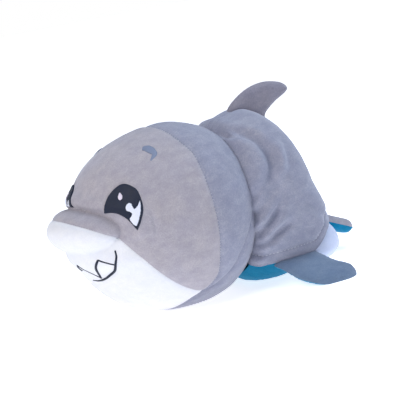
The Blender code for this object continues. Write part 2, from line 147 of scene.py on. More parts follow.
def wobble(points, scale, seed):
    """Smooth noise between about -1 and 1, with features scale metres apart."""
    shift = Vector((seed * 7.1, seed * 3.3, seed * 5.7))
    return np.array([noise.noise(Vector(p) / scale + shift) for p in points])


def cut(points, faces, field):
    """Splits the triangles that straddle field = 0, so that every face lies on one side."""
    value = field(points)
    value = np.where(np.abs(value) < 0.00012, 0.0, value)
    sign = np.sign(value).astype(int)
    straddles = (sign[faces].max(1) > 0) & (sign[faces].min(1) < 0)
    out, fresh, known = [faces[~straddles]], [], {}

    def crossing(a, b):
        key = (min(a, b), max(a, b))
        if key not in known:
            t = value[a] / (value[a] - value[b])
            known[key] = len(points) + len(fresh)
            fresh.append(points[a] * (1 - t) + points[b] * t)
        return known[key]

    new_faces = []
    for face in faces[straddles]:
        signs = [sign[i] for i in face]
        if 0 in signs:
            k = signs.index(0)
            a, b, c = (int(face[(k + i) % 3]) for i in range(3))
            m = crossing(b, c)
            new_faces += [(a, b, m), (a, m, c)]
            continue
        k = next(i for i in range(3) if signs[i] != signs[(i + 1) % 3] and signs[i] != signs[i - 1])
        a, b, c = (int(face[(k + i) % 3]) for i in range(3))
        m, n = crossing(a, b), crossing(a, c)
        new_faces += [(a, m, n), (m, b, c), (m, c, n)]
    if new_faces:
        out.append(np.array(new_faces))
        points = np.vstack([points, np.array(fresh)]) if fresh else points
    return points, np.vstack(out)


def seam_distance(points, normals, field):
    """Distance along the surface to the line field = 0."""
    step = 1e-4
    value = field(points)
    slope = np.stack([(field(points + step * axis) - value) / step for axis in np.eye(3)], 1)
    slope -= (slope * normals).sum(1, keepdims=True) * normals
    return np.abs(value) / np.maximum(np.linalg.norm(slope, axis=1), 0.25)


def dip(distance, depth, width):
    """How far a seam pulls the fabric in: a crease with a soft shoulder."""
    return depth * (0.55 * np.exp(-distance / width) + 0.45 * np.exp(-((distance / (3.2 * width)) ** 2)))


def build(name, points, faces, material):
    """A mesh object in the row frame from head-centred points."""
    used = np.unique(np.concatenate([np.asarray(f, int) for f in faces]))
    place = np.full(len(points), -1)
    place[used] = np.arange(len(used))
    mesh = bpy.data.meshes.new(name)
    kept = [tuple(place[list(f)]) for f in faces]
    mesh.from_pydata([tuple(p) for p in points[used] + HEAD_AT], [], kept)
    mesh.materials.append(material)
    mesh.polygons.foreach_set("use_smooth", [True] * len(mesh.polygons))
    mesh.update()
    obj = bpy.data.objects.new(name, mesh)
    bpy.context.scene.collection.objects.link(obj)
    return obj


def soft(name, points, faces, material, body, nodes):
    """A stuffed piece of velour that rides on one body and stands for CAD nodes."""
    obj = build(name, points, faces, material)
    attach(obj, body)
    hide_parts(*nodes)
    return obj


def thread(name, points, faces, material, body, nodes):
    """A piece of embroidery or stitching that rides on one body."""
    obj = build(name, points, faces, material)
    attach(obj, body)
    if nodes:
        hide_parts(*nodes)
    return obj


def border_chains(faces, picked):
    """Loops and lines of points along the border between picked faces and the others."""
    owner = {}
    for face, chosen in zip(faces.tolist(), picked.tolist()):
        for k in range(3):
            a, b = face[k], face[(k + 1) % 3]
            owner.setdefault((min(a, b), max(a, b)), []).append((chosen, a, b))
    following = {}
    for sides in owner.values():
        marks = [s[0] for s in sides]
        if True in marks and (False in marks or len(marks) == 1):
            _, a, b = sides[marks.index(True)]
            following[a] = b
    chains = []
    starts = [a for a in following if a not in set(following.values())]
    while following:
        at = starts.pop() if starts else next(iter(following))
        chain = [at]
        while at in following:
            at = following.pop(at)
            chain.append(at)
        chains.append(chain)
    return chains


def evenly(path, spacing):
    """Points along a polyline at an even spacing, and the directions there."""
    length = np.concatenate([[0], np.cumsum(np.linalg.norm(np.diff(path, axis=0), axis=1))])
    count = max(2, int(length[-1] / spacing))
    at = (np.arange(count) + 0.5) * length[-1] / count
    spots = np.stack([np.interp(at, length, path[:, k]) for k in range(3)], 1)
    ahead = np.stack([np.interp(at + 0.001, length, path[:, k]) for k in range(3)], 1)
    behind = np.stack([np.interp(at - 0.001, length, path[:, k]) for k in range(3)], 1)
    return spots, unit(ahead - behind)


def rounded(corners, per_span=6, closed=False):
    """A smooth line through 2-D or 3-D corners."""
    p = np.array(corners, float)
    if closed:
        p = np.vstack([p[-1], p, p[:2]])
    else:
        p = np.vstack([2 * p[0] - p[1], p, 2 * p[-1] - p[-2]])
    out = []
    for a, b, c, d in zip(p[:-3], p[1:-2], p[2:-1], p[3:]):
        for t in np.arange(per_span) / per_span:
            out.append(0.5 * (2 * b + (c - a) * t + (2 * a - 5 * b + 4 * c - d) * t ** 2
                              + (3 * b - a - 3 * c + d) * t ** 3))
    if not closed:
        out.append(p[-2])
    return np.array(out)


def outline_distance(spots, outline):
    """Distance in a plane from each spot to a closed outline."""
    a, b = outline, np.roll(outline, -1, axis=0)
    d = b - a
    rel = spots[:, None] - a[None]
    t = np.clip((rel * d).sum(-1) / np.maximum((d * d).sum(-1), 1e-12), 0, 1)
    return np.linalg.norm(rel - t[..., None] * d, axis=-1).min(1)


def fill_outline(outline, spacing):
    """Points and triangles over a closed outline in a plane, with each point's distance to the rim."""
    low, high = outline.min(0), outline.max(0)
    rows = []
    for k, v in enumerate(np.arange(low[1], high[1], spacing * 0.866)):
        offset = 0.5 * spacing * (k % 2)
        rows += [(u, v) for u in np.arange(low[0] + offset, high[0], spacing)]
    grid = np.array(rows)
    a, b = outline, np.roll(outline, -1, axis=0)
    u, v = grid[:, :1], grid[:, 1:]
    spans = (a[:, 1] > v) != (b[:, 1] > v)
    rise = np.where(np.abs(b[:, 1] - a[:, 1]) < 1e-12, 1e-12, b[:, 1] - a[:, 1])
    hits = spans & (u < (b[:, 0] - a[:, 0]) * (v - a[:, 1]) / rise + a[:, 0])
    grid = grid[hits.sum(1) % 2 == 1]
    grid = grid[outline_distance(grid, outline) > spacing * 0.45]
    points = [Vector(p) for p in np.vstack([outline, grid])]
    rim = [(i, (i + 1) % len(outline)) for i in range(len(outline))]
    spots, _, faces, *_ = delaunay_2d_cdt(points, rim, [list(range(len(outline)))], 1, 1e-7)
    spots = np.array([tuple(p) for p in spots])
    return spots, np.array([f[:3] for f in faces]), outline_distance(spots, outline)


class Cover:
    """A surface that embroidery is laid on."""

    def __init__(self, points, faces):
        self.tree = BVHTree.FromPolygons([tuple(p) for p in points], [tuple(f) for f in faces.tolist()])

    def project(self, spots, direction):
        """Each spot moved along direction on to the surface, with the normals there."""
        found, normals = [], []
        for spot in spots:
            start = Vector(spot) - Vector(direction) * 0.06
            hit, normal, _, _ = self.tree.ray_cast(start, Vector(direction))
            if hit is None:
                hit, normal, _, _ = self.tree.find_nearest(Vector(spot))
            found.append(tuple(hit))
            normals.append(tuple(normal))
        return np.array(found), unit(np.array(normals))

    def nearest(self, spots):
        """The closest points of the surface, with the normals there."""
        found = [self.tree.find_nearest(Vector(s)) for s in spots]
        return np.array([tuple(f[0]) for f in found]), unit(np.array([tuple(f[1]) for f in found]))


def stroke(path, normals, widths, height=0.42, sides=8):
    """An embroidered line: a low domed ribbon on a surface, with tapered ends."""
    tangent = unit(np.gradient(path, axis=0))
    across = unit(np.cross(normals, tangent))
    angles = np.linspace(0, math.pi, sides)
    rings = []
    for k, spot in enumerate(path):
        half = widths[k] / 2
        for angle in angles:
            lift = half * 2 * height * math.sin(angle) + 0.0001
            rings.append(spot + across[k] * half * math.cos(angle) + normals[k] * lift)
        rings.append(spot - normals[k] * 0.0010)
    per = sides + 1
    faces = []
    for k in range(len(path) - 1):
        for i in range(per):
            a, b = k * per + i, k * per + (i + 1) % per
            faces.append((a, b, b + per, a + per))
    faces.append(tuple(range(per)))
    faces.append(tuple(reversed(range((len(path) - 1) * per, len(path) * per))))
    return np.array(rings), faces


def beads(spots, along, up, length, radius, lift):
    """Small stitches, one at each spot."""
    ball, triangles = icosphere(2)
    side = unit(np.cross(up, along))
    points, faces = [], []
    for k, spot in enumerate(spots):
        shape = (ball[:, :1] * along[k] * length / 2 + ball[:, 1:2] * side[k] * radius
                 + ball[:, 2:] * up[k] * radius)
        faces += (triangles + len(points) * len(ball)).tolist()
        points.append(spot + up[k] * lift + shape)
    return np.vstack(points), faces


def merge(parts):
    """Several (points, faces) as one."""
    points, faces, count = [], [], 0
    for some_points, some_faces in parts:
        faces += [tuple(int(i) + count for i in f) for f in some_faces]
        points.append(some_points)
        count += len(some_points)
    return np.vstack(points), faces


# ---------------------------------------------------------------- cloth simulation

PUFF_PRESSURE = 4.0
PUFF_FRAMES = 20
HEAD_PUFF = 0.004        # the most that the head's fabric may move
SLEEVE_PUFF = 0.003


def puff(points, faces, pinned, cap):
    """How far each point moves when the fabric is blown up with its seams held."""
    mesh = bpy.data.meshes.new("puff")
    mesh.from_pydata([tuple(p) for p in points], [], [tuple(f) for f in faces.tolist()])
    obj = bpy.data.objects.new("puff", mesh)
    bpy.context.scene.collection.objects.link(obj)
    group = obj.vertex_groups.new(name="held")
    for k, weight in enumerate(pinned):
        group.add([k], float(weight), "REPLACE")
    cloth = obj.modifiers.new("Cloth", "CLOTH")
    cloth.settings.effector_weights.gravity = 0
    cloth.settings.vertex_group_mass = "held"
    cloth.settings.use_pressure = True
    cloth.settings.uniform_pressure_force = PUFF_PRESSURE
    cloth.settings.tension_stiffness = 15
    cloth.settings.compression_stiffness = 15
    cloth.settings.bending_stiffness = 0.6
    cloth.settings.quality = 5
    cloth.point_cache.frame_start, cloth.point_cache.frame_end = 1, PUFF_FRAMES
    for number in range(1, PUFF_FRAMES + 1):
        bpy.context.scene.frame_set(number)
    shape = obj.evaluated_get(bpy.context.evaluated_depsgraph_get()).data
    after = np.array([v.co for v in shape.vertices])
    bpy.context.scene.frame_set(1)
    bpy.data.objects.remove(obj)
    bpy.data.meshes.remove(mesh)
    move = np.nan_to_num(after - points)
    size = np.linalg.norm(move, axis=1, keepdims=True)
    return move * np.minimum(1, cap / np.maximum(size, 1e-9))


def spread(coarse, move, points):
    """Movement known at coarse points, carried over to other points close by."""
    tree = KDTree(len(coarse))
    for k, p in enumerate(coarse):
        tree.insert(Vector(p), k)
    tree.balance()
    out = np.zeros_like(points)
    for k, p in enumerate(points):
        near = tree.find_n(Vector(p), 4)
        weight = np.array([1 / (d + 1e-5) ** 2 for _, _, d in near])
        out[k] = (move[[i for _, i, _ in near]] * weight[:, None]).sum(0) / weight.sum()
    return out


# ---------------------------------------------------------------- materials

def colour(hex_text):
    """A linear colour from an sRGB hex."""
    parts = [int(hex_text[k:k + 2], 16) / 255 for k in (0, 2, 4)]
    linear = [c / 12.92 if c <= 0.04045 else ((c + 0.055) / 1.055) ** 2.4 for c in parts]
    return (*linear, 1.0)


class Nodes:
    """Short calls for making a node material."""

    def __init__(self, name):
        self.material = bpy.data.materials.new(name)
        self.material.use_nodes = True
        self.tree = self.material.node_tree
        self.shader = self.tree.nodes["Principled BSDF"]
        self.place = self.add("ShaderNodeTexCoord").outputs["Object"]

    def add(self, kind, **values):
        node = self.tree.nodes.new(kind)
        for key, value in values.items():
            setattr(node, key, value)
        return node

    def link(self, a, b):
        self.tree.links.new(a, b)

    def noise(self, scale, detail=3.0, rough=0.55, stretch=None):
        node = self.add("ShaderNodeTexNoise")
        node.inputs["Scale"].default_value = scale
        node.inputs["Detail"].default_value = detail
        node.inputs["Roughness"].default_value = rough
        source = self.place
        if stretch:
            mapping = self.add("ShaderNodeMapping")
            mapping.inputs["Scale"].default_value = stretch
            self.link(source, mapping.inputs["Vector"])
            source = mapping.outputs["Vector"]
        self.link(source, node.inputs["Vector"])
        return node.outputs["Fac"]

    def remap(self, source, low, high, out_low, out_high):
        node = self.add("ShaderNodeMapRange")
        for key, value in (("From Min", low), ("From Max", high), ("To Min", out_low), ("To Max", out_high)):
            node.inputs[key].default_value = value
        self.link(source, node.inputs["Value"])
        return node.outputs["Result"]

    def mix(self, factor, a, b, kind="MIX"):
        node = self.add("ShaderNodeMix", data_type="RGBA", blend_type=kind)
        for key, value in ((0, factor), (6, a), (7, b)):
            if isinstance(value, (tuple, float, int)):
                node.inputs[key].default_value = value
            else:
                self.link(value, node.inputs[key])
        return node.outputs[2]

    def math(self, kind, a, b):
        node = self.add("ShaderNodeMath", operation=kind)
        for key, value in ((0, a), (1, b)):
            if isinstance(value, (float, int)):
                node.inputs[key].default_value = value
            else:
                self.link(value, node.inputs[key])
        return node.outputs[0]

    def bump(self, height, strength, distance, below=None):
        node = self.add("ShaderNodeBump")
        node.inputs["Strength"].default_value = strength
        node.inputs["Distance"].default_value = distance
        self.link(height, node.inputs["Height"])
        if below is not None:
            self.link(below, node.inputs["Normal"])
        return node.outputs["Normal"]


def velour(name, base, warm, dark, sheen=0.35, tint=(0.9, 0.92, 1.0, 1.0), contrast=1.0):
    """Short-pile velour: brushed patches, fine pile, and a soft sheen at glancing angles."""
    n = Nodes(name)
    patches = n.remap(n.noise(34, 5, 0.65), 0.32, 0.68, 0.0, 1.0)
    brushed = n.remap(n.noise(120, 3, 0.6, stretch=(1.0, 0.55, 1.0)), 0.30, 0.70, 0.0, 1.0)
    pile = n.remap(n.noise(620, 2, 0.7), 0.25, 0.75, 0.0, 1.0)
    paint = n.mix(n.math("MULTIPLY", patches, 0.75), base, warm)
    paint = n.mix(n.math("MULTIPLY", brushed, 0.50 * contrast), paint, dark)
    paint = n.mix(n.math("MULTIPLY", pile, 0.62 * contrast), paint, dark)
    n.link(paint, n.shader.inputs["Base Color"])
    n.link(n.remap(brushed, 0, 1, 0.82, 0.98), n.shader.inputs["Roughness"])
    coarse = n.bump(brushed, 0.22, 0.0012)
    n.link(n.bump(pile, 0.38, 0.0007, below=coarse), n.shader.inputs["Normal"])
    n.shader.inputs["Sheen Weight"].default_value = sheen
    n.shader.inputs["Sheen Roughness"].default_value = 0.5
    n.shader.inputs["Sheen Tint"].default_value = tint
    n.shader.inputs["Specular IOR Level"].default_value = 0.15
    return n.material


THREAD_TURN = (0.2, 0.35, 0.1489)    # how the satin threads run, as a rotation


def satin(name, base, lit, threads=520.0):
    """Satin-stitch embroidery: fine parallel threads with a silky gloss."""
    n = Nodes(name)
    mapping = n.add("ShaderNodeMapping")
    mapping.inputs["Rotation"].default_value = THREAD_TURN
    n.link(n.place, mapping.inputs["Vector"])
    wave = n.add("ShaderNodeTexWave", wave_type="BANDS", bands_direction="X")
    wave.inputs["Scale"].default_value = threads
    wave.inputs["Distortion"].default_value = 1.2
    wave.inputs["Detail"].default_value = 1.0
    n.link(mapping.outputs["Vector"], wave.inputs["Vector"])
    shade = n.noise(240, 3, 0.6)
    paint = n.mix(n.math("MULTIPLY", wave.outputs["Fac"], 0.30), base, lit)
    paint = n.mix(n.remap(shade, 0.35, 0.75, 0.0, 0.22), paint, lit)
    n.link(paint, n.shader.inputs["Base Color"])
    n.link(n.remap(shade, 0.3, 0.7, 0.42, 0.62), n.shader.inputs["Roughness"])
    n.link(n.bump(wave.outputs["Fac"], 0.35, 0.0004), n.shader.inputs["Normal"])
    n.shader.inputs["Specular IOR Level"].default_value = 0.3
    return n.material


GREY = velour("grey_velour_look", colour("b4afb9"), colour("bfb7b7"), colour("8e8a97"))
SHADED = velour("shaded_grey_velour_look", colour("a1a2b4"), colour("adacb7"), colour("777b91"))
# A darker copy of the grey velour: painted shade on the dorsal fin.
SHADED_FIN_GREY = velour("shaded_fin_grey_velour_look", colour("938f9c"), colour("9f999f"), colour("6e6c7e"))
# A darker, bluer copy of the grey velour: painted blue-tinted shade on the flippers' tops.
SHADED_FLIPPER_GREY = velour("shaded_flipper_grey_velour_look", colour("7386a0"), colour("8090a3"), colour("556a88"))
WHITE = velour("white_velour_look", colour("e4e5ec"), colour("ebe9e8"), colour("cfd1de"),
               sheen=0.25, contrast=0.6)
# A bluer copy of the white velour: painted blue light on the second head's muzzle.
BLUE_LIT_WHITE = velour("blue_lit_white_velour_look", colour("d6dcf2"), colour("dde1f3"), colour("bcc6e6"),
                    sheen=0.25, contrast=0.6)
TEAL = velour("teal_velour_look", colour("027fa6"), colour("0a8cb3"), colour("02688f"), sheen=0.2,
              tint=(0.45, 0.85, 1.0, 1.0))
NAVY = satin("navy_thread_look", colour("161c2e"), colour("28324c"))
PALE = satin("white_thread_look", colour("dfe3f6"), colour("f4f3fa"))
ROSE = satin("glint_thread_look", colour("ded3e4"), colour("efe8f2"))
SLATE = satin("slate_thread_look", colour("77819a"), colour("8f99b0"))
SEAM = satin("seam_thread_look", colour("c3c3cd"), colour("dcdce4"), threads=900.0)


# ---------------------------------------------------------------- head

def face_seam(points):
    """The seam round the head from crown to chin, behind the eyes. Negative in front of it."""
    _, y, z = points.T
    low = np.clip(-z - 0.062, 0, None)
    return y - (0.004 - 0.15 * np.clip(z - 0.075, 0, None) * 2.6 - 26.0 * low ** 2)


def gusset_seam(points):
    """The seam between the side band and the rear gusset. Negative in front of it."""
    _, y, z = points.T
    low = np.clip((-z - 0.060) / 0.036, 0, None)
    return y - (0.0716 + 0.70 * z - 0.0394 * low ** 2.4)


CHEEK = ((-0.104, 0.002), (-0.069, -0.045), (-0.020, -0.083))   # (y, z) on the grey and white seam
BEAK_SEAM_RISE = 0.66
cheek_curve = np.polyfit([p[0] for p in CHEEK], [p[1] for p in CHEEK], 2)


def white_seam(points):
    """The seam between grey and white along beak and cheek. Negative in the white."""
    _, y, z = points.T
    cheek = np.polyval(cheek_curve, y)
    beak = CHEEK[0][1] + BEAK_SEAM_RISE * (CHEEK[0][0] - y)
    return z - np.where(y < CHEEK[0][0], beak, cheek)


def head_field(points):
    """Negative inside the head and its beak. They meet in a crease above and softly below."""
    z = points[:, 2]
    head = (gauge(points, HEAD) - 1) * 0.105
    beak = (gauge(points, BEAK) - 1) * 0.045
    blend = join_fields(head, beak, 0.0010 + 0.044 * smooth(-z, 0.000, 0.030))
    return np.maximum(blend, (FLOOR + 0.0005 - z))


def beak_root(points):
    """Negative on the beak, positive on the head."""
    return (gauge(points, BEAK) - 1) * 0.045 - (gauge(points, HEAD) - 1) * 0.105


HEAD_CORE = (0, -0.035, 0.0)
BEAK_BACK = -0.085                    # the beak's root is read only in front of this y
SEAM_DIP = (0.0022, 0.0014)           # depth and width of the head's creases
CHEEK_DIP = (0.0016, 0.0013)
BEAK_DIP = (0.0034, 0.0018)


def head_pins(points, normals):
    """How firmly the seams hold the head's fabric: 1 on a seam or on the floor, 0 away from both."""
    near = np.min([seam_distance(points, normals, f) for f in (face_seam, gusset_seam, white_seam)], 0)
    floor = smooth(-points[:, 2], -FLOOR - 0.012, -FLOOR - 0.003)
    return np.clip(np.exp(-(near / 0.005) ** 2) + floor, 0, 1)


def make_head():
    points, faces = inflate(7, HEAD_CORE, head_field)
    coarse, coarse_faces = inflate(6, HEAD_CORE, head_field)
    pins = head_pins(coarse, point_normals(coarse, coarse_faces))
    points = points + spread(coarse, puff(coarse, coarse_faces, pins, HEAD_PUFF), points)
    for seam in (face_seam, gusset_seam, white_seam):
        points, faces = cut(points, faces, seam)
    points, faces = cut(points, faces, lambda p: np.where(p[:, 1] < BEAK_BACK, beak_root(p), 1.0))
    centre = points[faces].mean(1)
    front = face_seam(centre) < 0
    white = front & (white_seam(centre) < 0)
    beak = front & ~white & (beak_root(centre) < 0) & (centre[:, 1] < BEAK_BACK)
    rear = gusset_seam(centre) > 0
    labels = np.select([white, beak, front, rear], [2, 1, 0, 4], 3)

    normals = point_normals(points, faces)
    s1, s2, s3 = (seam_distance(points, normals, seam) for seam in (face_seam, gusset_seam, white_seam))
    ahead = smooth(-face_seam(points), -0.004, 0.002)
    arch = np.abs(beak_root(points)) + 0.05 * (points[:, 1] > BEAK_BACK)
    inward = dip(s1, *SEAM_DIP) + dip(s2, *SEAM_DIP)
    inward += ahead * dip(s3, *CHEEK_DIP)
    above = smooth(points[:, 2], -0.004, 0.006)
    inward += above * dip(arch, *BEAK_DIP)
    cheek_roll = smooth(beak_root(points), 0.0, 0.004) * (1 - smooth(beak_root(points), 0.010, 0.024))
    inward -= 0.0022 * above * cheek_roll * (points[:, 1] < -0.07)
    bulge = 0.0009 * wobble(points, 0.034, 1) + 0.00035 * wobble(points, 0.013, 2)
    rest = smooth(points[:, 2] - FLOOR, 0.0, 0.012)
    points = points + normals * ((bulge - inward) * rest)[:, None]
    points[:, 2] = np.maximum(points[:, 2], FLOOR + 0.0003)
    return points, faces, labels


head_points, head_faces, head_labels = make_head()
head_surface = Cover(head_points, head_faces)
head_normals = point_normals(head_points, head_faces)

HEAD_PANELS = (
    ("face_panel_velour", ("face_panel", "head_filling"), GREY, "grey_velour", 0.85),
    ("beak_panel_velour", ("beak_panel",), GREY, "grey_velour", 0.85),
    ("muzzle_panel_velour", ("muzzle_panel",), WHITE, "white_velour", 0.85),
    ("head_side_band_velour", ("head_side_band",), SHADED, "grey_velour", 0.8),
    ("head_rear_gusset_velour", ("head_rear_gusset",), SHADED, "grey_velour", 0.8),
)
for number, (name, nodes, material, slot, fill) in enumerate(HEAD_PANELS):
    soft(name, head_points, head_faces[head_labels == number], material, "head", nodes)


def stitch_line(name, picked, spacing, length, radius, keep):
    """Small stitches across the seam round the picked panels of the head, where keep allows them."""
    parts = []
    for chain in border_chains(head_faces, np.isin(head_labels, picked)):
        path = head_points[chain]
        if len(path) < 8:
            continue
        spots, along = evenly(path, spacing)
        chosen = keep(spots)
        spots, along = spots[chosen], along[chosen]
        if len(spots) == 0:
            continue
        _, up = head_surface.nearest(spots)
        parts.append(beads(spots, unit(np.cross(up, along)), up, length, radius, radius * 0.5))
    points, faces = merge(parts)
    thread(name, points, faces, SEAM, "head", ())


stitch_line("face_seam_stitches", [0, 1, 2], 0.0034, 0.0022, 0.00028,
            lambda s: (np.abs(face_seam(s)) < 0.004) & (s[:, 2] > FLOOR + 0.012))
stitch_line("white_seam_stitches", [2], 0.0032, 0.0018, 0.00026,
            lambda s: (np.abs(white_seam(s)) < 0.004) & (face_seam(s) < -0.004))


# ---------------------------------------------------------------- eyes, brows and mouth

# The face sits a little round to the left, so the right eye is nearer the middle.
EYES = {1: (math.radians(52), (0.0632, -0.0923, 0.038)),
        -1: (math.radians(-22), (-0.0215, -0.1168, 0.039))}
RIGHT_WEDGE_SHIFT = (-0.006, 0.006)   # keeps the far eye's light spot clear of the beak
RIGHT_BROW_SHIFT = 0.014
EYE_TOP = [(-0.0231, -0.006), (-0.0206, 0.004), (-0.0137, 0.014), (0.001, 0.022), (0.0150, 0.016),
           (0.0202, 0.006), (0.0217, -0.007), (0.0178, -0.019), (0.0118, -0.029)]
EYE_BOTTOM = [(0.0118, -0.029), (0.0034, -0.016), (-0.005, -0.009), (-0.0133, -0.006), (-0.0231, -0.006)]
WEDGE = [(0.0193, 0.0030), (0.0196, -0.0045), (0.0178, -0.0130), (0.0118, -0.0240), (0.0052, -0.0158),
         (0.0086, -0.0108), (0.0070, -0.0080), (0.0034, -0.0062), (0.0026, -0.0020), (0.0052, 0.0014),
         (0.0092, 0.0012), (0.0108, -0.0020), (0.0124, -0.0050), (0.0162, -0.0020)]
GLINT = [(-0.0024, 0.0140), (0.0006, 0.0103), (0.0002, 0.0066), (-0.0026, 0.0052), (-0.0051, 0.0076),
         (-0.0044, 0.0110)]


def eye_patch(outline, side, turned, spacing, lift, rim_lift, rim, shift=(0, 0)):
    """A closed embroidered shape on the head, seen square on at the eye. turned swaps its left and right."""
    spots, faces, depth = fill_outline(outline, spacing)
    u = (spots[:, 0] + shift[0]) * (-1 if turned else 1)
    v = spots[:, 1] + shift[1]
    turn, centre = EYES[side]
    flat = np.array(centre) + np.outer(u, (math.cos(turn), math.sin(turn), 0)) + np.outer(v, (0, 0, 1))
    inward = (-math.sin(turn), math.cos(turn), 0)
    placed, normals = head_surface.project(flat, inward)
    edge = np.sqrt(np.clip(depth / 0.0009, 0, 1))
    ridge = np.exp(-((depth - rim * 0.5) / (rim * 0.42)) ** 2)
    height = -0.0004 + edge * (0.0004 + lift) + ridge * rim_lift
    if turned:
        faces = faces[:, ::-1]
    points, faces = cut(placed + normals * height[:, None], faces, lambda p: beak_root(p) - 0.0008)
    return points, faces[beak_root(points[faces].mean(1)) > 0.0008]


eye_outline = np.vstack([rounded(EYE_TOP, 7)[:-1], rounded(EYE_BOTTOM, 7)[:-1]])
wedge_outline = rounded(WEDGE, 4, closed=True)
glint_outline = rounded(GLINT, 5, closed=True)
for side, word in ((1, "left"), (-1, "right")):
    points, faces = eye_patch(eye_outline, side, side < 0, 0.0011, 0.0007, 0.0006, 0.0022)
    thread(f"{word}_eye_embroidery", points, faces, NAVY, "head", [f"{word}_eye_patch"])
    shift = (0, 0) if side > 0 else RIGHT_WEDGE_SHIFT
    points, faces = eye_patch(wedge_outline, side, False, 0.0009, 0.0013, 0.0002, 0.0014, shift)
    thread(f"{word}_eye_wedge_embroidery", points, faces, PALE, "head", [f"{word}_eye_wedge"])
    points, faces = eye_patch(glint_outline, side, False, 0.0008, 0.0013, 0.0002, 0.0012)
    thread(f"{word}_eye_glint_embroidery", points, faces, ROSE, "head", [f"{word}_eye_glint"])


FACE_DEPTH = -0.10        # the plane that the face's lines are drawn on


def front_stroke(line, widths, height=0.30):
    """An embroidered line given by (x, z) corners, laid on the head from in front."""
    path = rounded(line, 8)
    spots = np.stack([path[:, 0], np.full(len(path), FACE_DEPTH), path[:, 1]], 1)
    placed, normals = head_surface.project(spots, (0, 1, 0))
    normals = unit(normals + np.roll(normals, 1, 0) + np.roll(normals, -1, 0))
    sizes = np.interp(np.linspace(0, 1, len(path)), np.linspace(0, 1, len(widths)), widths)
    return stroke(placed, normals, sizes, height)


BROW = [(0.0425, 0.0898), (0.0458, 0.0890), (0.0510, 0.0862), (0.0562, 0.0822), (0.0592, 0.0770)]
for side, word, shift in ((1, "left", 0.0), (-1, "right", RIGHT_BROW_SHIFT)):
    line = [(x * side + shift, z) for x, z in BROW]
    points, faces = front_stroke(line, [0.0060, 0.0106, 0.0098, 0.0060, 0.0014], height=0.11)
    thread(f"{word}_brow_embroidery", points, faces, SLATE, "head", [f"{word}_brow"])

GRIN = [(0.057, -0.009), (0.0575, -0.017), (0.0545, -0.026), (0.049, -0.033), (0.041, -0.038),
        (0.031, -0.043), (0.020, -0.046), (0.007, -0.0465)]
points, faces = front_stroke(GRIN, [0.0018, 0.0026, 0.0031, 0.0031, 0.0026, 0.0013])
thread("grin_embroidery", points, faces, NAVY, "head", ["grin_stitching"])
TEETH = (
    ([(0.0030, -0.0330), (0.0036, -0.0285), (0.0075, -0.0243)], [0.0026, 0.0030, 0.0020]),
    ([(0.0075, -0.0243), (0.0170, -0.0330), (0.0265, -0.0415)], [0.0017, 0.0015, 0.0017]),
    ([(0.0265, -0.0420), (0.0330, -0.0300), (0.0420, -0.0175)], [0.0028, 0.0032, 0.0028]),
    ([(0.0420, -0.0175), (0.0475, -0.0210), (0.0540, -0.0250)], [0.0020, 0.0017, 0.0017]),
)
points, faces = merge([front_stroke(line, widths) for line, widths in TEETH])
thread("teeth_embroidery", points, faces, NAVY, "head", ["teeth_stitching"])


# ---------------------------------------------------------------- sleeve

HEM = -0.076
HEM_STITCH = -0.0668
NECK_LAP = 0.006          # how far the sleeve runs in under the head
FOLD_GAIN = 2.1           # the folds' depth, times the depths listed below
ROLL_GAIN = 0.8           # the rise beside a fold, on the same scale
RIGHT_FOLD_SHIFT = 0.004  # the folds on the right sit this much lower than the left ones
# Folds on the sleeve's side: valley lines as (y, z) corners, with depth and width
FOLDS = (
    ([(0.063, 0.088), (0.073, 0.082), (0.090, 0.071), (0.096, 0.054), (0.102, 0.040)], 0.0022, 0.0060),
    ([(0.066, 0.082), (0.070, 0.076)], 0.0018, 0.0030),
    ([(0.066, 0.006), (0.085, 0.022), (0.094, 0.035), (0.099, 0.064)], 0.0030, 0.0065),
    ([(0.060, -0.017), (0.076, -0.002), (0.093, 0.013), (0.103, 0.020)], 0.0032, 0.0060),
    ([(0.057, -0.045), (0.069, -0.034), (0.085, -0.015), (0.099, 0.005)], 0.0034, 0.0060),
    ([(0.056, -0.057), (0.071, -0.049), (0.092, -0.036), (0.103, -0.033)], 0.0028, 0.0055),
    ([(0.056, -0.064), (0.078, -0.060)], 0.0016, 0.0040),
    ([(0.129, -0.016), (0.157, -0.037), (0.171, -0.047)], 0.0010, 0.0060),
)
RIDGES = (([(0.114, 0.056), (0.108, 0.040), (0.101, 0.024)], 0.0020, 0.0060),)


def line_distance(spots, line):
    """Distance in the side view to a line, and how far along it, 0 to 1."""
    path = rounded(line, 5)
    a, d = path[:-1], np.diff(path, axis=0)
    rel = spots[:, None] - a[None]
    t = np.clip((rel * d).sum(-1) / np.maximum((d * d).sum(-1), 1e-12), 0, 1)
    away = np.linalg.norm(rel - t[..., None] * d, axis=-1)
    nearest = away.argmin(1)
    rows = np.arange(len(spots))
    return away[rows, nearest], (nearest + t[rows, nearest]) / len(a)


def fold_push(points):
    """How far the folds push the sleeve's side out (positive) or in."""
    x, y, z = points.T
    side = smooth(np.abs(x), 0.012, 0.040)
    spots = np.stack([y, z + np.where(x < 0, RIGHT_FOLD_SHIFT, 0)], 1)
    total = np.zeros(len(points))
    for lines, sign in ((FOLDS, -1), (RIDGES, 1)):
        for line, depth, width in lines:
            away, along = line_distance(spots, line)
            ends = np.clip(1.15 - np.abs(along - 0.4) * 1.3, 0.25, 1)
            total += sign * FOLD_GAIN * depth * ends * np.exp(-(away / width) ** 2)
            total -= sign * ROLL_GAIN * depth * ends * np.exp(-((away - 1.8 * width) / width) ** 2)
    return total * side


SLEEVE_CORE = (0, 0.118, 0.0)


def sleeve_field(points):
    return (gauge(points, SLEEVE) - 1) * 0.09


def hem_edge(points):
    """Negative where the sleeve has ended, below its hem. The hem rises behind into an arch."""
    return (points[:, 2] - HEM - 0.0275 * smooth(points[:, 1], 0.134, 0.172)) * 0.85


def hem_line(points):
    """The topstitched line above the hem. Negative in the band."""
    return hem_edge(points) - (HEM_STITCH - HEM)


def neck_depth(points):
    """Distance outside the head; negative within it."""
    return (gauge(points, HEAD) - 1) * 0.097


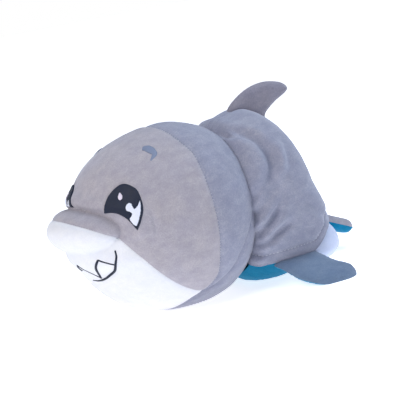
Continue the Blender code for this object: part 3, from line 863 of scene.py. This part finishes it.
def under_folds(points):
    """1 above the hem near the neck, where the sleeve's folds need room below them, and 0 further back."""
    return smooth(hem_edge(points), 0.000, 0.013) * (1 - smooth(points[:, 1], 0.098, 0.124))


def left_side(points):
    return points[:, 0]


def make_sleeve():
    points, faces = inflate(7, SLEEVE_CORE, sleeve_field)
    coarse, coarse_faces = inflate(6, SLEEVE_CORE, sleeve_field)
    held = np.exp(-(np.clip(hem_edge(coarse), 0, 1) / 0.010) ** 2)
    held = np.maximum(held, np.exp(-(np.clip(neck_depth(coarse), 0, 1) / 0.008) ** 2))
    held = np.maximum(held, 0.5 * np.exp(-(coarse[:, 0] / 0.004) ** 2))
    points = points + spread(coarse, puff(coarse, coarse_faces, held, SLEEVE_PUFF), points)
    for seam in (left_side, hem_edge, hem_line):
        points, faces = cut(points, faces, seam)
    points, faces = cut(points, faces, lambda p: neck_depth(p) + NECK_LAP)
    centre = points[faces].mean(1)
    keep = (hem_edge(centre) > 0) & (neck_depth(centre) > -NECK_LAP)
    faces, centre = faces[keep], centre[keep]

    normals = point_normals(points, faces)
    neck = np.clip(neck_depth(points), 0, None)
    into_neck = 0.0085 * np.exp(-neck / 0.0048) - 0.0022 * np.exp(-((neck - 0.014) / 0.006) ** 2)
    hem = np.abs(hem_line(points))
    crown = np.abs(points[:, 0]) + 0.03 * smooth(-points[:, 2], -0.02, 0.02)
    push = fold_push(points) - into_neck
    push -= 0.0013 * np.exp(-hem / 0.0013) + 0.0008 * np.exp(-(hem / 0.005) ** 2)
    push += 0.0009 * np.exp(-(crown / 0.0022) ** 2) - 0.0012 * np.exp(-((crown - 0.0042) / 0.0018) ** 2)
    push += 0.0011 * wobble(points, 0.040, 3) + 0.0005 * wobble(points, 0.014, 4)
    points = points + normals * push[:, None]
    band = hem_line(centre) < 0
    left = centre[:, 0] > 0
    return points, faces, np.where(band, 2, 0) + np.where(left, 0, 1)


def rolled_hem(points, faces, outward):
    """The hem's edge turned in and up under itself, as extra faces below a band."""
    turns = ((0.0003, -0.0010), (-0.0010, -0.0017), (-0.0026, -0.0014), (-0.0034, -0.0002), (-0.0033, 0.0040))
    extra, extra_faces = [], []
    edge = np.abs(hem_edge(points)) < 0.0022
    for chain in border_chains(faces, np.ones(len(faces), bool)):
        run = []
        for index in chain + [None]:
            if index is not None and edge[index]:
                run.append(index)
                continue
            if len(run) > 3:
                line = [list(run)]
                for out, up in turns:
                    away = outward[run] * (1, 1, 0)
                    ring = points[run] + unit(away) * out + np.array([0, 0, up])
                    line.append([len(points) + len(extra) + k for k in range(len(run))])
                    extra += list(ring)
                for upper, lower in zip(line[:-1], line[1:]):
                    for k in range(len(run) - 1):
                        extra_faces.append((upper[k + 1], upper[k], lower[k]))
                        extra_faces.append((upper[k + 1], lower[k], lower[k + 1]))
            run = []
    return np.vstack([points, np.array(extra)]), np.vstack([faces, np.array(extra_faces)])


sleeve_points, sleeve_faces, sleeve_labels = make_sleeve()
sleeve_normals = point_normals(sleeve_points, sleeve_faces)
sleeve_surface = Cover(sleeve_points, sleeve_faces)
for number, word in ((0, "left"), (1, "right")):
    soft(f"sleeve_panel_{word}_velour", sleeve_points, sleeve_faces[sleeve_labels == number], SHADED, "torso",
         [f"sleeve_panel_{word}"])
    band_points, band_faces = rolled_hem(sleeve_points, sleeve_faces[sleeve_labels == number + 2],
                                         sleeve_normals)
    soft(f"hem_band_{word}_velour", band_points, band_faces, SHADED, "torso", [f"hem_band_{word}"])


LINING_EDGES = (0.0015, 0.030)        # the lining's lower and upper edge above the hem's
LINING_NECK = 0.010                   # the gap that the lining leaves round the head


def make_lining():
    """The teal lining just inside the sleeve's hem."""
    low, high = LINING_EDGES

    def inside(p):
        return (gauge(p, SLEEVE) - 1) * 0.09 + 0.0042 + 0.006 * under_folds(p)

    points, faces = inflate(6, SLEEVE_CORE, inside)
    for seam in (lambda p: hem_edge(p) - low, lambda p: hem_edge(p) - high):
        points, faces = cut(points, faces, seam)
    points, faces = cut(points, faces, lambda p: neck_depth(p) - LINING_NECK)
    centre = points[faces].mean(1)
    level = hem_edge(centre)
    return points, faces[(level > low) & (level < high) & (neck_depth(centre) > LINING_NECK)]


lining_points, lining_faces = make_lining()
thread("sleeve_lining_velour", lining_points, lining_faces, TEAL, "torso", ["sleeve_lining"])


def hem_stitches():
    """Topstitching along the hem, as short thread dashes."""
    parts = []
    band = sleeve_labels >= 2
    for chain in border_chains(sleeve_faces, band):
        path = sleeve_points[chain]
        on_line = np.abs(hem_line(path)) < 0.0025
        if on_line.sum() <= 8:
            continue
        spots, along = evenly(path[on_line], 0.0046)
        _, up = sleeve_surface.nearest(spots)
        parts.append(beads(spots, along, up, 0.0030, 0.00032, 0.0002))
    return merge(parts)


points, faces = hem_stitches()
thread("hem_topstitching", points, faces, SEAM, "torso", ())


# ---------------------------------------------------------------- second head

def second_field(points):
    z = points[:, 2]
    return np.maximum((gauge(points, SECOND_HEAD) - 1) * 0.085, FLOOR + 0.0005 - z)


def muzzle_field(points):
    z = points[:, 2]
    return np.maximum((gauge(points, MUZZLE) - 1) * 0.05, FLOOR + 0.0005 - z)


def make_second_head():
    points, faces = inflate(6, (0, 0.118, -0.03), second_field)
    for seam in (lambda p: p[:, 2] - 0.010, lambda p: neck_depth(p) - 0.003):
        points, faces = cut(points, faces, seam)
    centre = points[faces].mean(1)
    faces = faces[(centre[:, 2] < 0.010) & (neck_depth(centre) > 0.003)]
    normals = point_normals(points, faces)
    rest = smooth(points[:, 2] - FLOOR, 0.0, 0.012)
    push = (0.0010 * wobble(points, 0.03, 5) + 0.0004 * wobble(points, 0.012, 6)) * rest
    push -= 0.0085 * under_folds(points)
    return points + normals * push[:, None], faces


def make_muzzle():
    points, faces = inflate(6, (0, 0.146, -0.085), muzzle_field)
    normals = point_normals(points, faces)
    rest = smooth(points[:, 2] - FLOOR, 0.0, 0.012)
    crease = np.abs(points[:, 0])
    push = 0.0010 * wobble(points, 0.026, 7) - 0.0009 * np.exp(-(crease / 0.0016)) * rest
    return points + normals * (push * rest)[:, None], faces


points, faces = make_second_head()
soft("second_head_velour", points, faces, TEAL, "torso", ["second_head_skin", "second_head_filling"])
points, faces = make_muzzle()
# The second muzzle's bluer white is painted blue light.
soft("second_head_muzzle_velour", points, faces, BLUE_LIT_WHITE, "torso", ["second_head_muzzle"])


# ---------------------------------------------------------------- neck wall

def make_neck():
    """The round wall of fabric between the two heads, gathered at its middle."""
    low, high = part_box("neck_wall")
    low, high = np.array(low) - HEAD_AT, np.array(high) - HEAD_AT
    centre, half = (low + high) / 2, (high - low) / 2
    ball, faces = icosphere(5)
    ring = np.hypot(ball[:, 0], ball[:, 2])
    thick = np.clip(ring, 0, 1) ** 0.35
    return centre + ball * half * np.column_stack([np.ones_like(thick), thick, np.ones_like(thick)]), faces


points, faces = make_neck()
thread("neck_wall_velour", points, faces, GREY, "neck", ["neck_wall"])


# ---------------------------------------------------------------- flippers and fins

FIN_GRAIN = 0.0021        # spacing of the points on a fin


def lobe(outline, thickness, softness):
    """A flat stuffed shape: (u, v, w) points of its faces, top and underside triangles, rim distances."""
    spots, faces, depth = fill_outline(outline, FIN_GRAIN)
    swell = np.sqrt(np.clip(1 - (1 - np.clip(depth / softness, 0, 1)) ** 2, 0, 1))
    half = thickness / 2 * swell
    count = len(spots)
    top = np.column_stack([spots, half])
    low = np.column_stack([spots, -half])
    inner = [k for k in range(count) if depth[k] > 1e-6]
    place = {k: k for k in range(count)}
    place.update({k: count + n for n, k in enumerate(inner)})
    points = np.vstack([top, low[inner]])
    flipped = np.array([[place[i] for i in f[::-1]] for f in faces.tolist()])
    depths = np.concatenate([depth, depth[inner]])
    return points, faces, flipped, depths


def fin_pair(names, outline, thickness, softness, place, materials, seed):
    """Both faces of a fin as two pieces."""
    points, top, under, depth = lobe(outline, thickness, softness)
    flat = place(points)
    faces = np.vstack([top, under])
    normals = point_normals(flat, faces)
    signed = np.einsum("ij,ij->i", normals, place(points + (0, 0, 1)) - flat)
    if np.mean(signed[np.unique(top)]) < 0:
        faces, normals = faces[:, ::-1], -normals
        top, under = top[:, ::-1], under[:, ::-1]
    edge = np.exp(-((depth - 0.0022) / 0.0011) ** 2) * 0.0006
    push = 0.0007 * wobble(flat, 0.020, seed) + 0.0003 * wobble(flat, 0.008, seed + 20) - edge
    push *= smooth(depth, 0.0, 0.002)
    shaped = flat + normals * push[:, None]
    shaped[:, 2] = np.maximum(shaped[:, 2], FLOOR + 0.0004)
    for (name, nodes, slot), material, triangles in zip(names, materials, (top, under)):
        obj = build(name, shaped, triangles, material)
        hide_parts(*nodes)
        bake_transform(obj)


FLIPPER_ROOT = (0.0800, -0.0822)
FLIPPER_DROOP = math.radians(27)
FLIPPER = [(0.049, 0.157), (0.056, 0.144), (0.053, 0.125), (0.047, 0.109), (0.038, 0.098), (0.028, 0.090),
           (0.017, 0.086), (0.004, 0.083), (-0.010, 0.081), (-0.012, 0.108), (-0.010, 0.137), (0.002, 0.143),
           (0.018, 0.149), (0.034, 0.161)]
TAIL_ROOT = (0.1985, -0.0620)
TAIL_DROOP = math.radians(26)
TAIL = [(0.052, 0.0), (0.050, 0.012), (0.038, 0.021), (0.018, 0.019), (0.004, 0.012), (-0.003, 0.0),
        (0.004, -0.012), (0.018, -0.019), (0.038, -0.021), (0.050, -0.012)]
FIN = [(0.189, 0.1100), (0.180, 0.1185), (0.158, 0.1240), (0.136, 0.1225), (0.116, 0.1150), (0.099, 0.1030),
       (0.099, 0.0920), (0.125, 0.0870), (0.146, 0.0780), (0.152, 0.0870), (0.168, 0.0975), (0.183, 0.1040)]


def flipper_place(side):
    out = np.array([math.cos(FLIPPER_DROOP) * side, 0, -math.sin(FLIPPER_DROOP)])
    up = np.array([math.sin(FLIPPER_DROOP) * side, 0, math.cos(FLIPPER_DROOP)])
    root = np.array([FLIPPER_ROOT[0] * side, 0, FLIPPER_ROOT[1]])

    def place(p):
        arch = 2.0 * (p[:, 0] - 0.02) ** 2
        flat = root + np.outer(p[:, 0], out) + np.outer(p[:, 1], (0, 1, 0))
        return flat + np.outer(p[:, 2] - arch, up)
    return place, root, out


flipper_outline = rounded(FLIPPER, 8, closed=True)
for side, word in ((1, "left"), (-1, "right")):
    place, root, out = flipper_place(side)
    fin = f"{word}_flipper"
    pieces = ((f"{fin}_top_velour", [f"{fin}_top", f"{fin}_filling"], "grey_velour"),
              (f"{fin}_underside_velour", [f"{fin}_underside"], "teal_velour"))
    # The flipper tops' darker, bluer grey is painted shade.
    fin_pair(pieces, flipper_outline, 0.013, 0.017, place,
             (SHADED_FLIPPER_GREY, TEAL), seed=8 + side)

tail_outline = rounded(TAIL, 8, closed=True)


tail_root = np.array([0, *TAIL_ROOT])
tail_back = np.array([0, math.cos(TAIL_DROOP), -math.sin(TAIL_DROOP)])


def tail_place(p):
    up = np.array([0, math.sin(TAIL_DROOP), math.cos(TAIL_DROOP)])
    return tail_root + np.outer(p[:, 0], tail_back) + np.outer(p[:, 1], (1, 0, 0)) + np.outer(p[:, 2], up)


def dorsal_place(p):
    return np.stack([p[:, 2], p[:, 0], p[:, 1]], 1)


dorsal_outline = rounded(FIN, 8, closed=True)
# The dorsal fin's darker grey is painted shade.
fin_pair((("dorsal_fin_left_velour", ["dorsal_fin_left", "dorsal_fin_filling"], "grey_velour"),
          ("dorsal_fin_right_velour", ["dorsal_fin_right"], "grey_velour")),
         dorsal_outline, 0.0115, 0.014, dorsal_place,
         (SHADED_FIN_GREY, SHADED_FIN_GREY), seed=12)

fin_pair((("tail_fin_top_velour", ["tail_fin_top", "tail_fin_filling"], "grey_velour"),
          ("tail_fin_underside_velour", ["tail_fin_underside"], "teal_velour")),
         tail_outline, 0.018, 0.013, tail_place,
         (GREY, TEAL), seed=14)


# ---------------------------------------------------------------- floor, light and camera

FLOOR_RADIUS = 15
FLOOR_SIDES = 72


def make_floor():
    """A wide round pale floor, which glows more strongly further off so that its far part stays white."""
    mesh = bpy.data.meshes.new("studio_floor")
    turns = np.linspace(0, math.tau, FLOOR_SIDES, endpoint=False)
    rim = [(FLOOR_RADIUS * math.cos(t), FLOOR_RADIUS * math.sin(t), 0.0) for t in turns]
    mesh.from_pydata(rim, [], [tuple(range(FLOOR_SIDES))])
    n = Nodes("studio_floor_look")
    n.link(n.mix(n.remap(n.noise(3, 2), 0.3, 0.7, 0.0, 1.0), colour("f6f6f7"), colour("f2f2f5")),
           n.shader.inputs["Base Color"])
    n.shader.inputs["Roughness"].default_value = 0.9
    n.shader.inputs["Specular IOR Level"].default_value = 0.1
    n.shader.inputs["Emission Color"].default_value = (1, 1, 1, 1)
    far = n.add("ShaderNodeVectorMath", operation="LENGTH")
    n.link(n.place, far.inputs[0])
    n.link(n.remap(far.outputs["Value"], 0.6, 3.0, 0.70, 1.0), n.shader.inputs["Emission Strength"])
    mesh.materials.append(n.material)
    floor = bpy.data.objects.new("studio_floor", mesh)
    bpy.context.scene.collection.objects.link(floor)


CAMERA_TURN = math.radians(62.4)
CAMERA_RISE = math.radians(11.1)
CAMERA_ROLL = math.radians(-11.1)
CAMERA_DISTANCE = 1.4
SENSOR = 36
FOCAL = 2.96675                  # in widths of the picture
HEAD_OFFSET = (-0.0665, 0.03175)     # the head's centre from the picture's middle, right and down, in widths


def area_light(name, azimuth, elevation, distance, size, power, tint):
    """A soft lamp that faces the toy."""
    data = bpy.data.lights.new(name, "AREA")
    data.shape, data.size, data.energy, data.color = "DISK", size, power, tint
    lamp = bpy.data.objects.new(name, data)
    a, e = math.radians(azimuth), math.radians(elevation)
    back = Vector((math.sin(a) * math.cos(e), -math.cos(a) * math.cos(e), math.sin(e)))
    lamp.location = Vector((0, 0, 0.1)) + back * distance
    lamp.rotation_euler = back.to_track_quat("Z", "Y").to_euler()
    bpy.context.scene.collection.objects.link(lamp)


def make_camera():
    a, e, r = CAMERA_TURN, CAMERA_RISE, CAMERA_ROLL
    back = np.array([math.sin(a) * math.cos(e), -math.cos(a) * math.cos(e), math.sin(e)])
    right = np.array([math.cos(a), math.sin(a), 0])
    up = np.cross(back, right)
    right, up = right * math.cos(r) + up * math.sin(r), up * math.cos(r) - right * math.sin(r)
    data = bpy.data.cameras.new("camera")
    data.sensor_width = SENSOR
    data.lens = SENSOR * FOCAL
    data.clip_start, data.clip_end = 0.05, 30
    data.shift_x, data.shift_y = -HEAD_OFFSET[0], HEAD_OFFSET[1]
    camera = bpy.data.objects.new("camera", data)
    matrix = Matrix.Identity(4)
    for k, axis in enumerate((right, up, back)):
        for i in range(3):
            matrix[i][k] = axis[i]
    for i in range(3):
        matrix[i][3] = (HEAD_AT + back * CAMERA_DISTANCE)[i]
    camera.matrix_world = matrix
    bpy.context.scene.collection.objects.link(camera)
    bpy.context.scene.camera = camera


make_floor()
make_camera()
area_light("key", 18, 42, 1.8, 0.8, 14.8, (1.0, 0.95, 0.88))
area_light("top", 90, 80, 1.6, 1.2, 4.8, (0.86, 0.92, 1.0))
area_light("fill", 120, 22, 2.0, 1.5, 1.0, (0.45, 0.70, 1.0))
area_light("back", 178, 56, 2.0, 0.9, 23.0, (0.76, 0.88, 1.0))


def make_world():
    """Soft light from all round, with a pale band at the horizon behind the floor."""
    world = bpy.data.worlds.new("studio")
    world.use_nodes = True
    tree = world.node_tree
    shader = tree.nodes["Background"]
    place = tree.nodes.new("ShaderNodeTexCoord")
    parts = tree.nodes.new("ShaderNodeSeparateXYZ")
    rise = tree.nodes.new("ShaderNodeMapRange")
    tree.links.new(place.outputs["Generated"], parts.inputs["Vector"])
    tree.links.new(parts.outputs["Z"], rise.inputs["Value"])
    for key, value in (("From Min", 0.12), ("From Max", 0.24), ("To Min", 1.0), ("To Max", 0.0)):
        rise.inputs[key].default_value = value
    paint = tree.nodes.new("ShaderNodeMix")
    paint.data_type = "RGBA"
    paint.inputs[6].default_value = (0.055, 0.09, 0.16, 1.0)
    paint.inputs[7].default_value = (1.0, 1.0, 1.0, 1.0)
    tree.links.new(rise.outputs["Result"], paint.inputs[0])
    tree.links.new(paint.outputs[2], shader.inputs["Color"])
    bpy.context.scene.world = world


make_world()
bpy.context.scene.view_settings.view_transform = "Standard"
